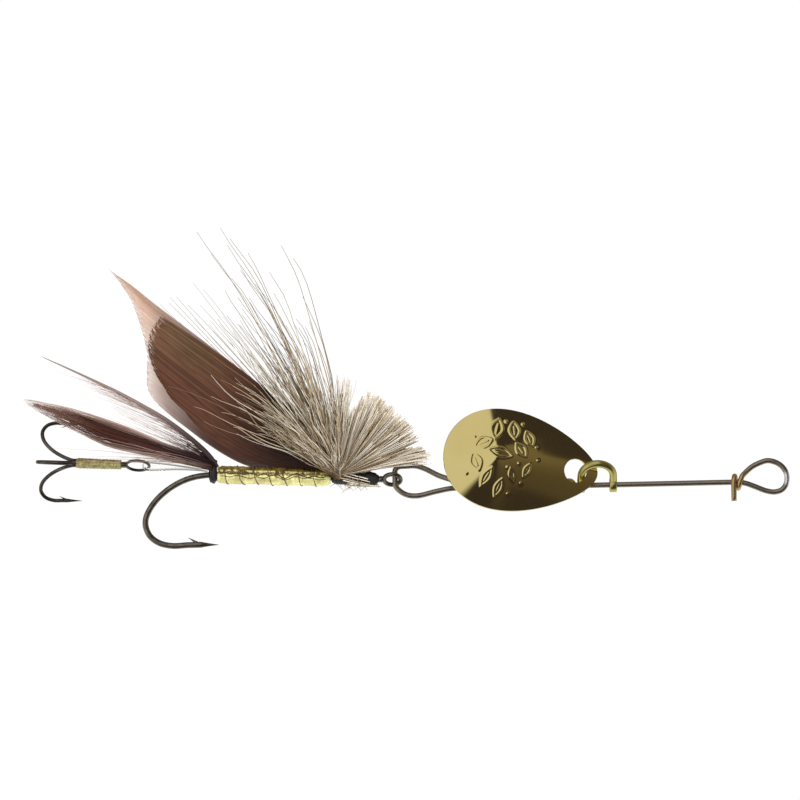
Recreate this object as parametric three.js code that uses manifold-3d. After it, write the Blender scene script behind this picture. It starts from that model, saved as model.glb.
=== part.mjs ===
// Inline spinner with a dressed single hook and a treble stinger. Millimetres.
// It hangs from its line: +Z runs up the shaft to the line, the dressing stands on -X,
// the hook point is on +X, and the blade rests on the -Y side of the shaft.
import * as THREE from 'three'
import Module from 'manifold-3d'

const wasm = await Module()
wasm.setup()
const { Manifold, Mesh } = wasm

// ---- driving dimensions ----
const WIRE = 0.27            // shaft wire radius
const WRAP_R = 0.60          // centre line radius of the closing turns
const WRAP_PITCH = 0.60
const LOOP_BAR = -37.60      // where the rear loop's end bar stands along the shaft
const CLEVIS_ANGLE = 40      // degrees the clevis leans from the dressing side towards -Y
const CLEVIS_WIRE = 0.38
const ARCH_A = -17.45, ARCH_R = 1.60, ARCH_H = 1.21   // arch centre and radius
const EAR_R = 0.74, EAR_T = 0.74, EAR_HOLE = 0.35
const BLADE_L = 15.6, BLADE_T = 0.40, BLADE_DISH = 1.50, BLADE_U0 = 10.2, DISH_EPS = 0.30
const BLADE_HOLE_R = 1.20, BLADE_HOLE_U = 2.30, BLADE_SEAT_U = 1.58
const BLADE_DROOP = 10.4, BLADE_OUT = 7, SEAT_ANGLE = 20, BLADE_ROLL = 9
const BEAD_R = 0.75, BEAD_A = -20.24
const BODY_FRONT = -21.06, BODY_REAR = -28.86
const FLY_A = -37.88, FLY_UP = 1.0, FLY_TILT = 2.85   // hook eye and the tilt of the hook shank
const EYE_R = 0.825, EYE_WIRE = 0.225, EYE_ROLL = 40
const HOOK_WIRE = 0.30
const TREBLE_WIRE = 0.19, TREBLE_EYE_R = 1.14, TREBLE_EYE_WIRE = 0.15
const MONO = 0.14

const rad = THREE.MathUtils.degToRad
const V = (x, y, z) => new THREE.Vector3(x, y, z)
// along the shaft towards the line, up towards the dressing, out towards -Y
const at = (along, up, out = 0) => V(-up, -out, along)
const cF = Math.cos(rad(FLY_TILT)), sF = Math.sin(rad(FLY_TILT))
const fly = (fa, fu, out = 0) => at(FLY_A + fa * cF + fu * sF, FLY_UP - fa * sF + fu * cF, out)

// ---- building blocks ----
function loft (rings, closed = false) {
  const n = rings[0].length, pos = [], idx = []
  for (const r of rings) for (const p of r) pos.push(p.x, p.y, p.z)
  const m = rings.length
  for (let i = 0; i < (closed ? m : m - 1); i++) {
    for (let j = 0; j < n; j++) {
      const a = i * n + j, b = i * n + (j + 1) % n
      const c = ((i + 1) % m) * n + (j + 1) % n, d = ((i + 1) % m) * n + j
      idx.push(a, b, c, a, c, d)
    }
  }
  if (!closed) {
    for (const [k, flip] of [[0, true], [m - 1, false]]) {
      const c = V(0, 0, 0)
      for (const p of rings[k]) c.addScaledVector(p, 1 / n)
      const ci = pos.length / 3
      pos.push(c.x, c.y, c.z)
      for (let j = 0; j < n; j++) {
        const a = k * n + j, b = k * n + (j + 1) % n
        flip ? idx.push(ci, b, a) : idx.push(ci, a, b)
      }
    }
  }
  return outward(pos, idx)
}

function outward (pos, idx) {
  let vol = 0
  const p = i => V(pos[3 * i], pos[3 * i + 1], pos[3 * i + 2])
  for (let i = 0; i < idx.length; i += 3) vol += p(idx[i]).dot(p(idx[i + 1]).cross(p(idx[i + 2])))
  if (vol < 0) for (let i = 0; i < idx.length; i += 3) [idx[i + 1], idx[i + 2]] = [idx[i + 2], idx[i + 1]]
  const g = new THREE.BufferGeometry()
  g.setAttribute('position', new THREE.Float32BufferAttribute(pos, 3))
  g.setIndex(idx)
  return g
}

// rings of a tube along points, carried without twist; radii is a number or one per point
function tube (pts, radii, sides = 8, closed = false) {
  const m = pts.length, rings = []
  const tan = i => closed
    ? pts[(i + 1) % m].clone().sub(pts[(i + m - 1) % m]).normalize()
    : pts[Math.min(i + 1, m - 1)].clone().sub(pts[Math.max(i - 1, 0)]).normalize()
  let t = tan(0), nrm = V(0.31, 0.87, 0.13).cross(t).normalize()
  for (let i = 0; i < m; i++) {
    const t2 = tan(i)
    nrm = nrm.clone().addScaledVector(t2, -nrm.dot(t2)).normalize()
    const b = t2.clone().cross(nrm), r = Array.isArray(radii) ? radii[i] : radii, ring = []
    for (let j = 0; j < sides; j++) {
      const a = 2 * Math.PI * j / sides
      ring.push(pts[i].clone().addScaledVector(nrm, r * Math.cos(a)).addScaledVector(b, r * Math.sin(a)))
    }
    rings.push(ring); t = t2
  }
  return loft(rings, closed)
}

const smooth = (pts, n) => new THREE.CatmullRomCurve3(pts, false, 'centripetal').getPoints(n)

function solid (g) {
  const pos = g.attributes.position.array
  const idx = g.index ? g.index.array : Uint32Array.from({ length: pos.length / 3 }, (_, i) => i)
  const mesh = new Mesh({ numProp: 3, vertProperties: new Float32Array(pos), triVerts: new Uint32Array(idx) })
  mesh.merge()
  return new Manifold(mesh)
}

function geom (man) {
  const mesh = man.getMesh(), k = mesh.numProp, pos = []
  for (let i = 0; i < mesh.vertProperties.length; i += k) {
    pos.push(mesh.vertProperties[i], mesh.vertProperties[i + 1], mesh.vertProperties[i + 2])
  }
  const g = new THREE.BufferGeometry()
  g.setAttribute('position', new THREE.Float32BufferAttribute(pos, 3))
  g.setIndex(Array.from(mesh.triVerts))
  return g
}
const hull = pts => geom(Manifold.hull(pts.map(p => [p.x, p.y, p.z])))

// a lathe solid about the shaft: profile of [along, radius] pairs, with a bore
function turned (profile, bore, place, seg = 24) {
  const loop = [...profile, [profile.at(-1)[0], bore], [profile[0][0], bore]]
  const rings = []
  for (let i = 0; i < seg; i++) {
    const a = 2 * Math.PI * i / seg
    rings.push(loop.map(([s, r]) => place(s, r * Math.cos(a), r * Math.sin(a))))
  }
  return loft(rings, true)
}

const root = new THREE.Group()
root.name = 'inline_spinner'
function add (name, g, colour, roughness, metalness) {
  g.computeVertexNormals()
  const m = new THREE.Mesh(g, new THREE.MeshStandardMaterial({ color: colour, roughness, metalness }))
  m.name = name
  root.add(m)
}

// ---- shaft: one length of wire, tied off in a line eye and a rear loop ----
const turn = (a0, turns, from, n, dir = -1) => {
  const out = []
  for (let i = 0; i <= n; i++) {
    const s = i / n, th = rad(from) + dir * 2 * Math.PI * turns * s
    out.push(at(a0 + WRAP_PITCH * turns * s, WRAP_R * Math.cos(th), WRAP_R * Math.sin(th)))
  }
  return out
}
const front = smooth([at(-2.98, 0.62, 0.50), at(-2.55, 1.02, 0.22), at(-1.95, 1.50, 0.04), at(-1.20, 1.86, 0), at(-0.40, 2.08, 0),
  at(0.50, 1.86, 0), at(1.18, 1.32, 0), at(1.50, 0.60, 0), at(1.44, -0.25, 0), at(1.00, -0.84, 0), at(0.25, -1.06, 0),
  at(-0.60, -0.92, 0), at(-1.60, -0.52, 0), at(-2.60, -0.14, 0), at(-3.40, 0, 0)], 44)
const rear = smooth([at(-30.60, 0, 0), at(-32.0, -0.02, 0), at(-33.6, -0.30, 0), at(-35.4, -0.68, 0), at(-36.4, -0.58, 0), at(-37.15, -0.16, 0),
  at(LOOP_BAR + 0.03, 0.36, 0), at(LOOP_BAR, 0.70, 0), at(LOOP_BAR, 1.35, 0), at(LOOP_BAR + 0.03, 1.92, 0), at(-37.25, 2.24, 0), at(-36.5, 2.30, 0),
  at(-35.5, 2.30, 0), at(-34.6, 2.0, 0), at(-33.2, 1.28, 0.02), at(-31.8, 0.78, 0.22), at(-31.05, 0.42, 0.46)], 52)
const rearWrap = []
for (let i = 0; i <= 34; i++) {
  const s = i / 34, th = rad(62) - rad(28) - 2 * Math.PI * 2 * s + rad(28)
  rearWrap.push(at(-30.50 + 1.20 * s, WRAP_R * Math.cos(th), WRAP_R * Math.sin(th)))
}
const shaftPath = [
  at(-3.85, -1.85, WRAP_R), at(-3.85, -1.10, WRAP_R), at(-3.85, -0.45, WRAP_R),
  ...turn(-3.85, 1, 90, 18), ...front, at(-16, 0, 0), ...rear, ...rearWrap]
add('shaft_wire', tube(shaftPath, WIRE, 8), '#6d6354', 0.35, 0.9)

// ---- bead and turned weight on the shaft ----
const onShaft = (s, u, o) => at(s, u, o)
const bead = []
for (let i = 0; i <= 10; i++) {
  const th = rad(28 + 124 * i / 10)
  bead.push([BEAD_A - BEAD_R * Math.cos(th), BEAD_R * Math.sin(th)])
}
add('bearing_bead', turned(bead, WIRE + 0.06, onShaft, 20), '#c9a85a', 0.2, 1)
add('weight_body', turned([[BODY_REAR, 0.70], [BODY_REAR + 0.3, 0.92], [BODY_REAR + 1.2, 1.22], [BODY_REAR + 2.6, 1.40], [BODY_REAR + 3.9, 1.38],
  [BODY_REAR + 5.4, 1.14], [BODY_REAR + 6.7, 0.86], [BODY_FRONT - 0.45, 0.70], [BODY_FRONT, 0.66]], WIRE + 0.06, onShaft, 24), '#b8933f', 0.25, 1)

// ---- clevis: round wire bent to an arch, its two ears flattened and drilled ----
const cC = Math.cos(rad(CLEVIS_ANGLE)), sC = Math.sin(rad(CLEVIS_ANGLE))
const clev = (a, rho, tau) => at(a, rho * cC - tau * sC, rho * sC + tau * cC)
const arch = [clev(ARCH_A - ARCH_R, 0.30, 0)]
for (let i = 0; i <= 14; i++) {
  const th = Math.PI * i / 14
  arch.push(clev(ARCH_A - ARCH_R * Math.cos(th), ARCH_H + ARCH_R * Math.sin(th), 0))
}
arch.push(clev(ARCH_A + ARCH_R, 0.30, 0))
let clevis = solid(tube(arch, CLEVIS_WIRE, 10))
const disc = (a, r, t, n = 20) => {
  const ring = s => Array.from({ length: n }, (_, j) => clev(a + s, r * Math.cos(2 * Math.PI * j / n), r * Math.sin(2 * Math.PI * j / n)))
  return solid(loft([ring(-t / 2), ring(t / 2)]))
}
for (const a of [ARCH_A - ARCH_R, ARCH_A + ARCH_R]) clevis = clevis.add(disc(a, EAR_R, EAR_T))
clevis = clevis.subtract(disc(ARCH_A, EAR_HOLE, 8, 16))
add('clevis', geom(clevis), '#d8c878', 0.25, 1)

// ---- blade: a dished pear-shaped stamping with one hole ----
const cD = Math.cos(rad(BLADE_DROOP)), sD = Math.sin(rad(BLADE_DROOP))
const cO = Math.cos(rad(BLADE_OUT)), sO = Math.sin(rad(BLADE_OUT))
const bu = at(-cD * cO, sD * cO, sO)
const roll = rad(BLADE_ROLL)
const bw = at(0, Math.sin(roll), Math.cos(roll)).addScaledVector(bu, -at(0, Math.sin(roll), Math.cos(roll)).dot(bu)).normalize()
const bv = bu.clone().cross(bw)
const halfWidth = u => Math.sqrt(Math.max(0, u * (BLADE_L - u) * (0.1716 + 0.0286 * u)))
const dish = r => BLADE_DISH * (Math.sqrt(1 + DISH_EPS ** 2) - Math.sqrt(r * r + DISH_EPS ** 2)) / (Math.sqrt(1 + DISH_EPS ** 2) - DISH_EPS)
const seat = clev(ARCH_A - ARCH_R * Math.cos(rad(SEAT_ANGLE)), ARCH_H + ARCH_R * Math.sin(rad(SEAT_ANGLE)), 0)
const bladeTip = seat.clone().addScaledVector(bu, -BLADE_SEAT_U).addScaledVector(bw, -dish((BLADE_U0 - BLADE_SEAT_U) / BLADE_U0))
const onBlade = (u, v, w) => bladeTip.clone().addScaledVector(bu, u).addScaledVector(bv, v).addScaledVector(bw, w)
const rimPoint = k => {
  const t = 2 * Math.PI * k
  const u = BLADE_L / 2 * (1 - Math.cos(t))
  return [u, Math.sign(Math.sin(t)) * halfWidth(u)]
}
const SPOKES = 40, RINGS = 9
const shell = side => {
  const rings = []
  for (let i = 1; i <= RINGS; i++) {
    const r = i / RINGS
    rings.push(Array.from({ length: SPOKES }, (_, j) => {
      const [u, v] = rimPoint((j + 0.5) / SPOKES)
      return onBlade(BLADE_U0 + (u - BLADE_U0) * r, v * r, dish(r) + side * BLADE_T / 2)
    }))
  }
  return rings
}
const bladeRings = [...shell(1), ...shell(-1).reverse()]
const bladeGeom = (() => {
  const n = SPOKES, pos = [], idx = []
  for (const r of bladeRings) for (const p of r) pos.push(p.x, p.y, p.z)
  for (let i = 0; i < bladeRings.length - 1; i++) {
    for (let j = 0; j < n; j++) {
      const a = i * n + j, b = i * n + (j + 1) % n, c = (i + 1) * n + (j + 1) % n, d = (i + 1) * n + j
      idx.push(a, b, c, a, c, d)
    }
  }
  for (const [k, side, flip] of [[0, 1, true], [bladeRings.length - 1, -1, false]]) {
    const c = onBlade(BLADE_U0, 0, dish(0) + side * BLADE_T / 2), ci = pos.length / 3
    pos.push(c.x, c.y, c.z)
    for (let j = 0; j < n; j++) {
      const a = k * n + j, b = k * n + (j + 1) % n
      flip ? idx.push(ci, b, a) : idx.push(ci, a, b)
    }
  }
  return outward(pos, idx)
})()
const holeRing = w => Array.from({ length: 24 }, (_, j) => onBlade(BLADE_HOLE_U + BLADE_HOLE_R * Math.cos(2 * Math.PI * j / 24), BLADE_HOLE_R * Math.sin(2 * Math.PI * j / 24), w))
add('blade', geom(solid(bladeGeom).subtract(solid(loft([holeRing(-3), holeRing(5)])))), '#cdb25a', 0.15, 1)

// ---- single hook: ringed eye, long shank, round bend, barbed point ----
const ringPts = (place, R, n) => Array.from({ length: n }, (_, j) => place(R * Math.cos(2 * Math.PI * j / n), R * Math.sin(2 * Math.PI * j / n)))
const hookPath = smooth([fly(-0.86, 0), fly(-4, 0), fly(-10, 0), fly(-15, 0), fly(-18.0, -0.03), fly(-20.2, -0.45), fly(-22.0, -1.38), fly(-23.55, -2.80),
  fly(-24.42, -4.35), fly(-24.48, -5.35), fly(-24.0, -6.35), fly(-23.05, -7.0), fly(-21.8, -7.24), fly(-20.2, -7.12), fly(-18.8, -7.04), fly(-17.1, -7.0)], 60)
const taper = (n, r, from, tip) => Array.from({ length: n }, (_, i) => {
  const s = i / (n - 1)
  return s < from ? r : r + (tip - r) * Math.pow((s - from) / (1 - from), 0.85)
})
function barb (place, a, u, rise, back, r) {
  return solid(tube([place(a, u), place(a - back * 0.55, u + rise * 0.62), place(a - back, u + rise)], [r, r * 0.62, 0.03], 6))
}
const eyeRing = ringPts((c, s) => fly(c, s * Math.sin(rad(EYE_ROLL)), s * Math.cos(rad(EYE_ROLL))), EYE_R, 20)
let hook = solid(tube(hookPath, taper(hookPath.length, HOOK_WIRE, 0.935, 0.03), 8))
hook = hook.add(solid(tube(eyeRing, EYE_WIRE, 8, true))).add(barb(fly, -19.3, -7.02, 0.62, 1.0, 0.18))
add('fly_hook', geom(hook), '#5a554b', 0.35, 0.9)

// ---- wound body, ribbing and thread collars on the shank ----
const onShank = (s, u, o) => fly(s, u, o)
const SHANK_BORE = HOOK_WIRE + 0.02
add('tinsel_body', turned([[-17.45, 0.72], [-17.0, 0.86], [-15.6, 0.90], [-13.5, 0.86], [-11.5, 0.90], [-9.4, 0.86], [-7.6, 0.88], [-6.6, 0.80], [-6.15, 0.60]], SHANK_BORE, onShank, 20), '#a8903c', 0.4, 0.7)
const rib = []
for (let i = 0; i <= 100; i++) {
  const s = i / 100, th = 2 * Math.PI * 7 * s
  rib.push(fly(-17.0 + 10.2 * s, 0.99 * Math.cos(th), 0.99 * Math.sin(th)))
}
add('body_rib', tube(rib, 0.065, 5), '#2c2620', 0.6, 0)
add('tail_butt_thread', turned([[-18.30, 0.45], [-18.15, 0.80], [-17.85, 0.92], [-17.62, 0.86], [-17.50, 0.60]], SHANK_BORE + 0.03, onShank, 18), '#1d1716', 0.7, 0)
add('hair_tie_thread', turned([[-6.05, 0.46], [-5.7, 0.62], [-5.0, 0.66], [-4.3, 0.62], [-3.95, 0.48]], SHANK_BORE, onShank, 18), '#2a2523', 0.7, 0)
add('head_thread', turned([[-3.90, 0.50], [-3.4, 0.74], [-2.6, 0.70], [-1.9, 0.72], [-1.35, 0.50]], SHANK_BORE, onShank, 18), '#221f28', 0.6, 0)

// ---- dressing: flat tapering bunches, each one lofted from lens-shaped sections ----
// station: [fa of lower edge, fu of lower edge, fa of upper edge, fu of upper edge, out, thickness]
function plume (stations) {
  return loft(stations.map(([a0, u0, a1, u1, o, t]) => {
    const ring = []
    for (const [k, h] of [[0, 0], [0.2, 0.42], [0.5, 0.5], [0.8, 0.42], [1, 0], [0.8, -0.42], [0.5, -0.5], [0.2, -0.42]]) {
      ring.push(fly(a0 + (a1 - a0) * k, u0 + (u1 - u0) * k, o + t * h))
    }
    return ring
  }))
}
add('tail_feather_lower', plume([[-18.55, 0.55, -18.35, 1.30, 0.30, 0.50], [-20.6, 0.95, -20.0, 2.00, 0.45, 0.75], [-24.3, 1.30, -23.6, 3.20, 0.60, 0.85],
  [-28.4, 2.45, -27.4, 4.65, 0.65, 0.80], [-31.6, 3.70, -31.0, 5.75, 0.60, 0.60], [-34.4, 4.95, -34.0, 6.35, 0.50, 0.35], [-36.9, 6.15, -36.8, 6.80, 0.40, 0.12]]), '#6e463a', 0.9, 0)
add('tail_feather_upper', plume([[-18.5, 1.42, -18.2, 1.95, -0.05, 0.40], [-20.6, 2.62, -20.0, 3.95, -0.15, 0.45], [-23.6, 4.20, -22.9, 5.50, -0.30, 0.45],
  [-27.8, 6.60, -27.4, 8.05, -0.40, 0.40], [-31.6, 8.70, -31.2, 9.75, -0.50, 0.30], [-35.3, 10.75, -35.1, 11.20, -0.55, 0.10]]), '#75625c', 0.9, 0)
add('wing_feather_far', plume([[-6.3, 1.00, -5.7, 2.10, -0.30, 0.30], [-10.0, 1.15, -9.3, 5.60, -0.40, 0.28], [-15.0, 1.95, -13.4, 8.75, -0.60, 0.26], [-19.8, 4.35, -17.2, 11.9, -0.90, 0.24],
  [-24.0, 7.00, -20.9, 14.4, -1.15, 0.22], [-25.0, 12.6, -24.2, 16.6, -1.30, 0.20], [-26.9, 17.3, -26.4, 18.4, -1.35, 0.16], [-29.0, 20.0, -28.9, 20.3, -1.35, 0.08]]), '#c9a088', 0.9, 0)
add('wing_feather_near', plume([[-6.3, 1.00, -5.7, 2.10, 0.20, 0.30], [-10.0, 1.20, -9.4, 5.30, 0.35, 0.28], [-15.0, 2.40, -13.6, 8.40, 0.60, 0.26], [-19.6, 4.90, -17.0, 11.1, 0.85, 0.24],
  [-23.3, 8.20, -20.2, 13.4, 1.00, 0.22], [-24.3, 12.6, -22.7, 14.9, 1.05, 0.18], [-23.9, 15.2, -23.3, 15.6, 1.05, 0.08]]), '#5f3a30', 0.9, 0)

// hair: the long ends fan back over the wing, the trimmed butts stand forward
const fan = (a, u, o) => [fly(a, u, o), fly(a, u, -o)]
let hair = Manifold.hull([...fan(-5.3, 0.95, 0.55), ...fan(-4.4, 0.85, 0.6), ...fan(-13.4, 10.4, 1.9), ...fan(-19.4, 22.3, 0.5), ...fan(-16.5, 24.0, 0.5),
  ...fan(-15.0, 17.5, 1.8), ...fan(-9.9, 20.2, 0.8), ...fan(-5.7, 13.3, 1.6), ...fan(-4.45, 8.0, 2.0), ...fan(-4.35, 4.0, 1.6)].map(p => [p.x, p.y, p.z]))
const slotPoly = [[-4.95, 0.4], [-4.95, 2.4], [-7.6, 5.2], [-11.0, 8.9], [-16.0, 12.6], [-16, 0.4]]
const slot = loft([slotPoly.map(([a, u]) => fly(a, u, -1.0)), slotPoly.map(([a, u]) => fly(a, u, 0.95))])
hair = hair.subtract(solid(slot))
add('hair_wing', geom(hair), '#b8a78c', 0.95, 0)
add('hair_head', hull([...fan(-4.1, 0.85, 0.5), ...fan(-3.6, 0.9, 0.7), ...fan(-3.95, 8.2, 2.2), ...fan(-1.06, 8.9, 2.3), ...fan(1.7, 6.6, 2.2), ...fan(3.5, 4.3, 1.6), ...fan(3.7, 2.95, 0.9),
  ...fan(-0.5, 1.85, 0.7)]), '#cbbda2', 0.95, 0)

// ---- stinger: a clear leader looped through the eye of a treble hook ----
const leader = smooth([fly(-18.38, 0.40, -0.02), fly(-19.6, 0.58, -0.08), fly(-21.6, 0.84, -0.10), fly(-23.4, 1.02, -0.04), fly(-24.35, 1.06, 0), fly(-24.72, 0.98, 0), fly(-24.86, 0.69, 0),
  fly(-24.72, 0.40, 0), fly(-24.35, 0.32, 0), fly(-23.4, 0.34, -0.10), fly(-21.6, 0.46, -0.38), fly(-19.6, 0.44, -0.46), fly(-18.38, 0.34, -0.46)], 44)
add('stinger_leader', tube(leader, MONO, 6), '#d9d9d2', 0.2, 0)

const T_A = -25.44, T_U = 0.69                      // treble eye centre
const treb = (a, u, o) => fly(T_A + a, T_U + u * 1 - a * 0.012, o)
const prong = [[-1.05, 0.10], [-2.4, 0.14], [-5.4, 0.14], [-6.4, 0.24], [-7.7, 0.75], [-8.85, 1.55], [-9.6, 2.55], [-9.72, 3.45], [-9.3, 4.15], [-8.5, 4.47], [-7.4, 4.44], [-5.6, 4.40]]
const prongPath = deg => smooth(prong.map(([a, r]) => treb(a, r * Math.cos(rad(deg)), r * Math.sin(rad(deg)))), 34)
const prongSolid = deg => {
  const pts = prongPath(deg)
  const place = (a, r) => treb(a, r * Math.cos(rad(deg)), r * Math.sin(rad(deg)))
  return solid(tube(pts, taper(pts.length, TREBLE_WIRE, 0.93, 0.025), 6)).add(barb(place, -7.35, 4.40, -0.42, 0.6, 0.12))
}
const tEye = ringPts((c, s) => treb(c, s * Math.sin(rad(26)), s * Math.cos(rad(26))), TREBLE_EYE_R, 18)
const double = solid(tube(tEye, TREBLE_EYE_WIRE, 6, true)).add(prongSolid(90)).add(prongSolid(210)).add(prongSolid(330))
const tShank = solid(tube([treb(-1.02, 0, 0), treb(-6.3, 0, 0)], 0.24, 8))
add('treble_hook', geom(double.add(tShank)), '#4c4a44', 0.35, 0.9)
add('treble_tinsel', turned([[-6.2, 0.46], [-5.9, 0.52], [-3.6, 0.50], [-1.9, 0.50], [-1.6, 0.44]], 0.40, (s, u, o) => treb(s, u, o), 14), '#8c7a42', 0.45, 0.6)

export default root
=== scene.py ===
"""Full looks of the inline spinner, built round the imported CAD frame.
Lengths in the helpers are millimetres: along the shaft towards the line, up towards the dressing,
out towards the viewer (-Y)."""
import math
import random

import bpy
from mathutils import Matrix, Vector, geometry, noise


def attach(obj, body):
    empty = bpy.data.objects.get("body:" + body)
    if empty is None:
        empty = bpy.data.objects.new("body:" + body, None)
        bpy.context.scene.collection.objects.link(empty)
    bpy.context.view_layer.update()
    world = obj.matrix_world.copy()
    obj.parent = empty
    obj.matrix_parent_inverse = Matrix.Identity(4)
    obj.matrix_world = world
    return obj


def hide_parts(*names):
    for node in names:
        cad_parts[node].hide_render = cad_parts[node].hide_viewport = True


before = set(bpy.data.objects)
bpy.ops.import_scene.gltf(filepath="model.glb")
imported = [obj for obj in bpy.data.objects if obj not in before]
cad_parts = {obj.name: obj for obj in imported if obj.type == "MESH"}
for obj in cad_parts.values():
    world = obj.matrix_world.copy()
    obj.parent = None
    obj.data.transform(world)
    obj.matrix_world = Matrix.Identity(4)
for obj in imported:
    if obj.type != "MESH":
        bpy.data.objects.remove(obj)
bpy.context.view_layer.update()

MM = 0.001
SCENE = bpy.context.scene
rng = random.Random(7)
PI2 = 2 * math.pi


def at(along, up, out=0.0):
    """A point in the frame, in metres."""
    return Vector((-up, -out, along)) * MM


# the fly hangs by its hook's eye from the shaft's rear loop, tipped a little
TILT = math.radians(2.85)
CF, SF = math.cos(TILT), math.sin(TILT)
EYE_A, EYE_U = -37.88, 1.0


def fly(fa, fu, out=0.0):
    """A point in the fly's own lengths, measured from the hook's eye."""
    return at(EYE_A + fa * CF + fu * SF, EYE_U - fa * SF + fu * CF, out)


def round_axis(place, a, r, th):
    """A point at radius r and angle th round the axis that place measures along."""
    return place(a, r * math.cos(th), r * math.sin(th))


def lin(r, g, b):
    """An sRGB colour out of 255 as linear light."""
    def one(x):
        x /= 255
        return x / 12.92 if x <= 0.04045 else ((x + 0.055) / 1.055) ** 2.4
    return (one(r), one(g), one(b))


def mix(a, b, t):
    return tuple(x + (y - x) * t for x, y in zip(a, b))


def shade(c, k):
    return tuple(min(1.0, x * k) for x in c)


def smoothstep(a, b, x):
    t = min(1.0, max(0.0, (x - a) / (b - a)))
    return t * t * (3 - 2 * t)


def spline(pts, n):
    """n + 1 points of a centripetal Catmull-Rom curve through pts."""
    out, last = [], len(pts) - 1
    for k in range(n + 1):
        p = last * k / n
        i = min(int(p), last - 1)
        w = p - i
        p1, p2 = pts[i], pts[i + 1]
        p0 = pts[i - 1] if i > 0 else 2 * pts[0] - pts[1]
        p3 = pts[i + 2] if i + 2 <= last else 2 * pts[last] - pts[last - 1]
        d0, d1, d2 = (max((b - a).length, 1e-9) ** 0.5 for a, b in ((p0, p1), (p1, p2), (p2, p3)))
        t1 = ((p1 - p0) / d0 - (p2 - p0) / (d0 + d1) + (p2 - p1) / d1) * d1
        t2 = ((p2 - p1) / d1 - (p3 - p1) / (d1 + d2) + (p3 - p2) / d2) * d1
        out.append(p1 + t1 * w + (-3 * p1 + 3 * p2 - 2 * t1 - t2) * w * w + (2 * p1 - 2 * p2 + t1 + t2) * w ** 3)
    return out


def through(place, n, *pts):
    """The curve through places given in one body's own lengths."""
    return spline([place(*p) for p in pts], n)


PLAIN = (0.5, 0.5, 0.5)  # the tint where the material has its own colour


class Build:
    """Gathers vertices, faces and a tint for each vertex, and makes one object of them."""

    def __init__(self):
        self.v, self.f, self.c = [], [], []

    def loft(self, rings, tints, closed=False, caps=True):
        n, base, m = len(rings[0]), len(self.v), len(rings)
        for k, ring in enumerate(rings):
            self.v += [tuple(p) for p in ring]
            self.c += [tints[k] if isinstance(tints, list) else tints] * n
        for i in range(m if closed else m - 1):
            a, b = base + i * n, base + ((i + 1) % m) * n
            for j in range(n):
                k = (j + 1) % n
                self.f.append((a + j, a + k, b + k, b + j))
        if caps and not closed:
            self.f.append(tuple(base + j for j in reversed(range(n))))
            self.f.append(tuple(base + (m - 1) * n + j for j in range(n)))

    def tube(self, pts, radii, sides=8, tints=PLAIN, closed=False, flat=1.0):
        m = len(pts)
        if closed:
            tan = [(pts[(i + 1) % m] - pts[i - 1]).normalized() for i in range(m)]
        else:
            tan = [(pts[min(i + 1, m - 1)] - pts[max(i - 1, 0)]).normalized() for i in range(m)]
        n = Vector((0.31, 0.87, 0.13)).cross(tan[0]).normalized()
        rings = []
        for i, p in enumerate(pts):
            n = (n - tan[i] * n.dot(tan[i])).normalized()
            b = tan[i].cross(n)
            r = (radii[i] if isinstance(radii, list) else radii) * MM
            rings.append([p + n * (r * math.cos(PI2 * j / sides)) + b * (r * flat * math.sin(PI2 * j / sides))
                          for j in range(sides)])
        self.loft(rings, tints, closed)

    def strip(self, left, mid, right, tints):
        """An open ribbon with a ridge along its middle."""
        base = len(self.v)
        for k, (a, b, c) in enumerate(zip(left, mid, right)):
            self.v += [tuple(a), tuple(b), tuple(c)]
            self.c += [tints[k]] * 3
        for i in range(len(mid) - 1):
            a = base + 3 * i
            self.f += [(a, a + 1, a + 4, a + 3), (a + 1, a + 2, a + 5, a + 4)]

    def make(self, name, mat, body, slot, *nodes):
        me = bpy.data.meshes.new(name)
        me.from_pydata(self.v, [], self.f)
        me.validate()
        tint = me.color_attributes.new("tint", "FLOAT_COLOR", "POINT")
        tint.data.foreach_set("color", [x for c in self.c for x in (*c, 1.0)])
        me.polygons.foreach_set("use_smooth", [True] * len(me.polygons))
        me.materials.append(mat)
        ob = bpy.data.objects.new(name, me)
        SCENE.collection.objects.link(ob)
        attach(ob, body)
        if nodes:
            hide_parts(*nodes)

    def dress(self, node, mat, body):
        """The look that stands for one CAD node, named after it; the node itself is hidden."""
        self.make(node + "_look", mat, body, node, node)


# ---- materials
def shader(name):
    m = bpy.data.materials.new(name)
    m.use_nodes = True
    nt = m.node_tree
    nt.nodes.clear()
    out = nt.nodes.new("ShaderNodeOutputMaterial")
    bsdf = nt.nodes.new("ShaderNodeBsdfPrincipled")
    nt.links.new(bsdf.outputs[0], out.inputs[0])
    return m, nt, bsdf, out


def dial(n, values):
    """Sets a node's inputs, or its own settings where no input has that name."""
    for k, v in values.items():
        if k in n.inputs:
            n.inputs[k].default_value = v
        else:
            setattr(n, k, v)
    return n


def node(nt, kind, **values):
    return dial(nt.nodes.new(kind), values)


def bumped(nt, bsdf, co, scale, detail, strength, depth):
    """Fine relief from noise in the object's own space."""
    grain = node(nt, "ShaderNodeTexNoise", Scale=scale, Detail=detail)
    bm = node(nt, "ShaderNodeBump", Strength=strength, Distance=depth)
    nt.links.new(co.outputs["Object"], grain.inputs["Vector"])
    nt.links.new(grain.outputs["Fac"], bm.inputs["Height"])
    nt.links.new(bm.outputs["Normal"], bsdf.inputs["Normal"])


METAL_RELIEF, SOFT_RELIEF = 0.00002, 0.00008


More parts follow.
